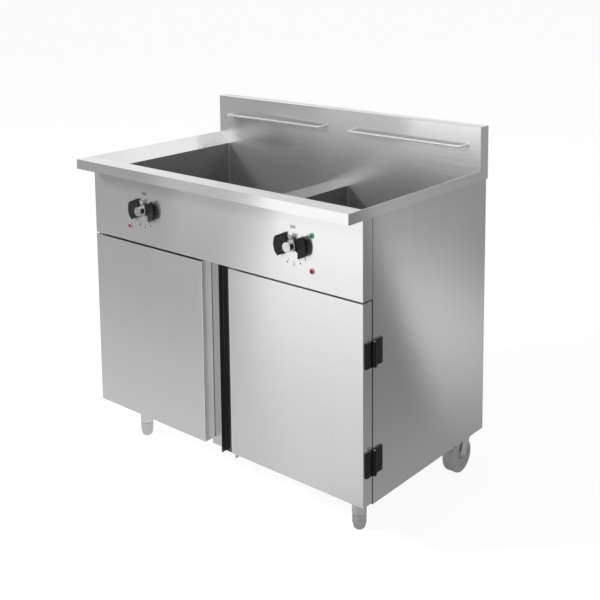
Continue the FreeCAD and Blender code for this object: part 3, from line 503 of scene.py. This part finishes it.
def merged(name, meshes, material, body):
    """One piece of print on the face of the fascia."""
    bm = bmesh.new()
    for mesh in meshes:
        bm.from_mesh(mesh)
    mesh = bpy.data.meshes.new(name)
    bmesh.ops.translate(bm, verts=bm.verts, vec=(0, fascia_low.y - INK_LIFT / 2, 0))
    for face in bm.faces:
        face.material_index = 0
    bm.to_mesh(mesh)
    bm.free()
    mesh.materials.append(material)
    obj = bpy.data.objects.new(name, mesh)
    scene.collection.objects.link(obj)
    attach(obj, body)
    return obj


DOT_RING_TREE = dot_ring()
for side in ("left", "right"):
    low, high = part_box("thermostat_spindle_" + side)
    cx, cz = (low.x + high.x) / 2, (low.z + high.z) / 2
    prints = [printed("ON", cx, cz + ON_RISE, ON_SIZE), dots(DOT_RING_TREE, cx, cz)]
    for index in range(NUMBER_COUNT):
        turn = math.radians(NUMBER_FIRST + NUMBER_STEP * index)
        place = cx + NUMBER_RING * math.cos(turn), cz + NUMBER_RING * math.sin(turn)
        prints.append(printed(str(index + 1), *place, NUMBER_SIZE))
    merged("dial_marks_" + side, prints, INK, "fryer")


# floor, light and camera

FLOOR_REACH = 30.0
FLOOR_GLOW, FLOOR_SHADE, FLOOR_PALE = 0.89, 0.27, 0.85
AIR_DIM = 0.3
TONES_REACH, TONES_LIFT = 6.0, 0.001


def stage_mesh(name, corners, only_reflected):
    """One flat face of the stage."""
    mesh = bpy.data.meshes.new(name)
    mesh.from_pydata(corners, [], [tuple(range(len(corners)))])
    obj = bpy.data.objects.new(name, mesh)
    scene.collection.objects.link(obj)
    obj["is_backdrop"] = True
    if only_reflected:
        for ray in ("camera", "diffuse", "transmission", "volume_scatter", "shadow"):
            setattr(obj, "visible_" + ray, False)
    return obj


def square(reach, z):
    """Corners of a level square round the origin."""
    return [(-reach, -reach, z), (reach, -reach, z), (reach, reach, z), (-reach, reach, z)]


def stage_tree(obj):
    """An empty node tree in a new material of its own."""
    mat = bpy.data.materials.new(obj.name)
    mat.use_nodes = True
    mat.node_tree.nodes.clear()
    obj.data.materials.append(mat)
    return Tree(mat.node_tree)


def any_ray(tree, *kinds):
    """1 for a ray of any of these kinds."""
    wires = [tree.put("ShaderNodeLightPath", out=kind) for kind in kinds]
    found = wires[0]
    for wire in wires[1:]:
        found = found.most(wire)
    return found


def matt(tree, level):
    return tree.put("ShaderNodeBsdfDiffuse", None, {"Color": (level, level, level, 1)})


def glowing(tree, strength):
    return tree.put("ShaderNodeEmission", None, {"Strength": strength})


def surface(tree, shader):
    tree.put("ShaderNodeOutputMaterial", None, {"Surface": shader})


def stage_floor():
    """White to the camera but for the shadow, and plain and pale to all that it lights."""
    tree = stage_tree(stage_mesh("floor", square(FLOOR_REACH, 0), False))
    shown = tree.put("ShaderNodeAddShader", None,
                     {0: matt(tree, FLOOR_SHADE), 1: glowing(tree, FLOOR_GLOW)})
    seen = any_ray(tree, "Is Camera Ray", "Is Transmission Ray")
    surface(tree, tree.put("ShaderNodeMixShader", None,
                           {0: seen, 1: matt(tree, FLOOR_PALE), 2: shown}))


# lines on the floor in metres, as slope and offset, or as the factors of x and y and an offset
NEAR_LINE, FAR_LINE = (1.1014, 0.515), (0.297, -1.578)
POOL_SLOPE, POOL_EDGE_AT, POOL_MIDDLE_AT = 1.13, 0.42, 0.28
POOL_END = (0.66, 0.75, -1.9)
# ramps along the floor: from here, to there, and the levels at the two ends
BRIGHT_FIELD = (-0.5, -2.2, 0.84, 1.36)
DIM_NEAR, DIM_FAR = (-0.35, -1.65, 0.74, 0.32), (-1.6, -1.9, 0.0, 0.28)
FIELD_EDGE, POOL_EDGE, HALF_EDGE = (-0.10, 0.14), (-0.08, 0.12), (-0.3, 0.3)
POOL_LENGTH, POOL_WIDTH = (0.0, 1.3, 1.0, 0.0), (0.0, 0.85, 1.0, 0.0)
AHEAD_NEAR, AHEAD_FAR = (0.6, 1.15, 0.16, 0.0), (1.4, 2.2, 0.0, 0.09)
POOL_LEVEL, BACK_LEVEL, BACK_STEP = 0.60, 0.235, 0.13


def stage_tones():
    """The tones that polished sides pick up from the floor; only reflections see it."""
    tree = stage_tree(stage_mesh("floor_tones", square(TONES_REACH, TONES_LIFT), True))
    x, y, z = tree.axes()
    # front left: a line from the doors outwards parts a dim field from a bright one
    near_line = y * NEAR_LINE[0] + NEAR_LINE[1]
    far_line = y * FAR_LINE[0] + FAR_LINE[1]
    across = x - near_line.most(far_line)
    bright = y.spread(*BRIGHT_FIELD)
    dim = y.spread(*DIM_NEAR) + y.spread(*DIM_FAR)
    front = dim + (bright - dim) * across.spread(*FIELD_EDGE)
    # back right: a soft pool of light with a firmer edge towards the front
    slant = y - x * POOL_SLOPE
    edge = (slant + POOL_EDGE_AT).spread(*POOL_EDGE)
    far = abs(x * POOL_END[0] + y * POOL_END[1] + POOL_END[2]).spread(*POOL_LENGTH)
    near = abs(slant + POOL_MIDDLE_AT).spread(*POOL_WIDTH)
    ahead = x.spread(*AHEAD_NEAR) - x.spread(*AHEAD_FAR)
    pool = edge * far * near * POOL_LEVEL
    back = pool + BACK_LEVEL + edge * BACK_STEP + (1.0 - edge) * ahead
    is_back = (x + y).spread(*HALF_EDGE)
    surface(tree, glowing(tree, front + (back - front) * is_back))


def stage_world():
    """White to the camera and in reflections, and dim as a light."""
    world = bpy.data.worlds.new("studio")
    scene.world = world
    world.use_nodes = True
    world.node_tree.nodes.clear()
    tree = Tree(world.node_tree)
    seen = any_ray(tree, "Is Camera Ray", "Is Glossy Ray", "Is Transmission Ray")
    strength = seen * (1.0 - AIR_DIM) + AIR_DIM
    back = tree.put("ShaderNodeBackground", None, {"Color": (1, 1, 1, 1), "Strength": strength})
    tree.put("ShaderNodeOutputWorld", None, {"Surface": back})


def lamp(name, place, target, size, level, mirrored):
    """A soft box; level is how bright its own face looks, with white as 1."""
    data = bpy.data.lights.new(name, "AREA")
    data.shape = "RECTANGLE"
    data.size, data.size_y = size
    data.energy = level * math.pi * size[0] * size[1]
    obj = bpy.data.objects.new(name, data)
    obj.location = place
    obj.rotation_mode = "QUATERNION"
    obj.rotation_quaternion = (Vector(target) - Vector(place)).to_track_quat("-Z", "Y")
    scene.collection.objects.link(obj)
    obj.visible_camera = False
    obj.visible_glossy = mirrored


def standing_card(name, start, end, low, high, level):
    """A plain card on edge that only reflections see."""
    corners = [(*start, low), (*end, low), (*end, high), (*start, high)]
    tree = stage_tree(stage_mesh(name, corners, True))
    surface(tree, glowing(tree, level))


CARD_CORNER, CARD_TOP, WHITE_SPLIT = (-1.16, -1.78), 7.0, 0.36
GREY_END, WHITE_END = (-4.2, -0.6), (0.3, -2.5)
PALE_START, PALE_END = (-1.16, -1.77), (-1.61, -1.595)
CARDS = {  # start, end, bottom, top, level
    "grey_card": (CARD_CORNER, GREY_END, 0.25, CARD_TOP, 0.36),
    "white_low": (CARD_CORNER, WHITE_END, 0.0, WHITE_SPLIT, 1.45),
    "white_high": (CARD_CORNER, WHITE_END, WHITE_SPLIT, CARD_TOP, 1.8),
    "pale_card": (PALE_START, PALE_END, 0.34, CARD_TOP, 0.78),
}
LAMPS = {  # place, target, size, level, mirrored
    "key": ((-2.34, -2.6, 2.65), (0.0, 0.0, 0.85), (0.8, 0.8), 62.0, False),
    "over_back": ((0.2, 2.5, 3.5), (-0.2, 0.0, 0.85), (2.2, 1.2), 0.3, True),
}

stage_floor()
stage_tones()
stage_world()
for name, card in CARDS.items():
    standing_card(name, *card)
for name, spec in LAMPS.items():
    lamp(name, *spec)

# the camera as it was fitted: its turn, its place, and its focal length and axis in pixels
YAW, PITCH, ROLL = math.radians(38.952), math.radians(7.720), math.radians(0.246)
EYE = Vector((1.9084, -2.0822, 1.4702))
PICTURE = 600
FOCAL_PX, CENTRE_X, CENTRE_Y = 1022.05, 338.96, 86.63
SENSOR = 36.0
CLIP_START, CLIP_END = 0.05, 80.0

camera_data = bpy.data.cameras.new("camera")
camera_data.sensor_width = SENSOR
camera_data.lens = FOCAL_PX / PICTURE * SENSOR
camera_data.shift_x = 0.5 - CENTRE_X / PICTURE
camera_data.shift_y = CENTRE_Y / PICTURE - 0.5
camera_data.clip_start, camera_data.clip_end = CLIP_START, CLIP_END
camera = bpy.data.objects.new("camera", camera_data)
scene.collection.objects.link(camera)
level = math.cos(PITCH)
forward = Vector((-math.sin(YAW) * level, math.cos(YAW) * level, -math.sin(PITCH)))
camera.location = EYE
camera.rotation_mode = "QUATERNION"
camera.rotation_quaternion = Quaternion(forward, ROLL) @ forward.to_track_quat("-Z", "Y")
scene.camera = camera

scene.view_settings.view_transform = "Standard"

low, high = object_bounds()
